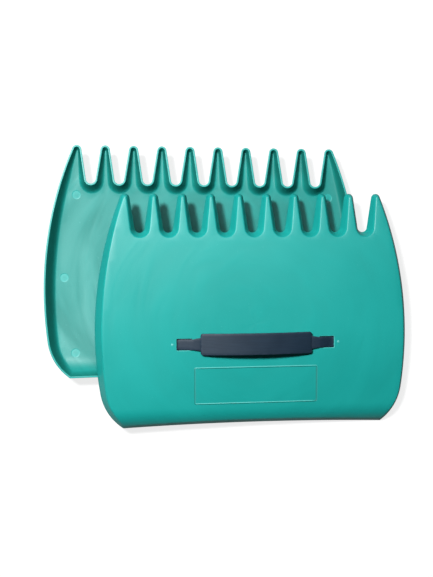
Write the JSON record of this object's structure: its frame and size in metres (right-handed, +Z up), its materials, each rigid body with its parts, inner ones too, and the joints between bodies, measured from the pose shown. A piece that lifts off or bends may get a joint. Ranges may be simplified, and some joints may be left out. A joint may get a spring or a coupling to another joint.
{
  "type": "leaf grabber hands",
  "caption": "Pair of hand-worn moulded plastic leaf scoops with raking tines and a flexible hand strap on the back of each, laid one over the other.",
  "frame": {"origin": "middle of the foot of the pair as it lies on a table, at the level of the rear scoop's strap", "axes": "+X across the scoops to the right of the tines, +Y from the heels towards the tine tips, +Z up"},
  "size_m": [0.4172, 0.3212, 0.0522],
  "materials": {
    "teal_plastic": "semi-gloss injection moulded polypropylene",
    "navy_strap": "flexible moulded strap with a fine lengthwise brushed texture",
    "screw_steel": "zinc plated"
  },
  "bodies": {
    "rear_strap": {"rear_strap_pad": "navy_strap"},
    "rear_scoop": {"rear_shell": "teal_plastic", "rear_strap_tail_left": "navy_strap", "rear_strap_tail_right": "navy_strap", "rear_screw_left": "screw_steel", "rear_screw_right": "screw_steel"},
    "front_scoop": {"front_shell": "teal_plastic", "front_strap_tail_left": "navy_strap", "front_strap_tail_right": "navy_strap", "front_screw_left": "screw_steel", "front_screw_right": "screw_steel"},
    "front_strap": {"front_strap_pad": "navy_strap"}
  },
  "joints": [
    {"name": "front_lift", "type": "slide", "parent": "rear_scoop", "child": "front_scoop", "axis": [0, 0, 1], "range_m": [0, 0.2]},
    {"name": "front_strap_flex", "type": "slide", "parent": "front_scoop", "child": "front_strap", "axis": [0.0623, -0.0833, 0.9946], "range_m": [-0.0005, 0.018], "stiffness_N_per_m": 400},
    {"name": "rear_strap_flex", "type": "slide", "parent": "rear_strap", "child": "rear_scoop", "axis": [0, 0, 1], "range_m": [0, 0.024], "stiffness_N_per_m": 400}
  ]
}
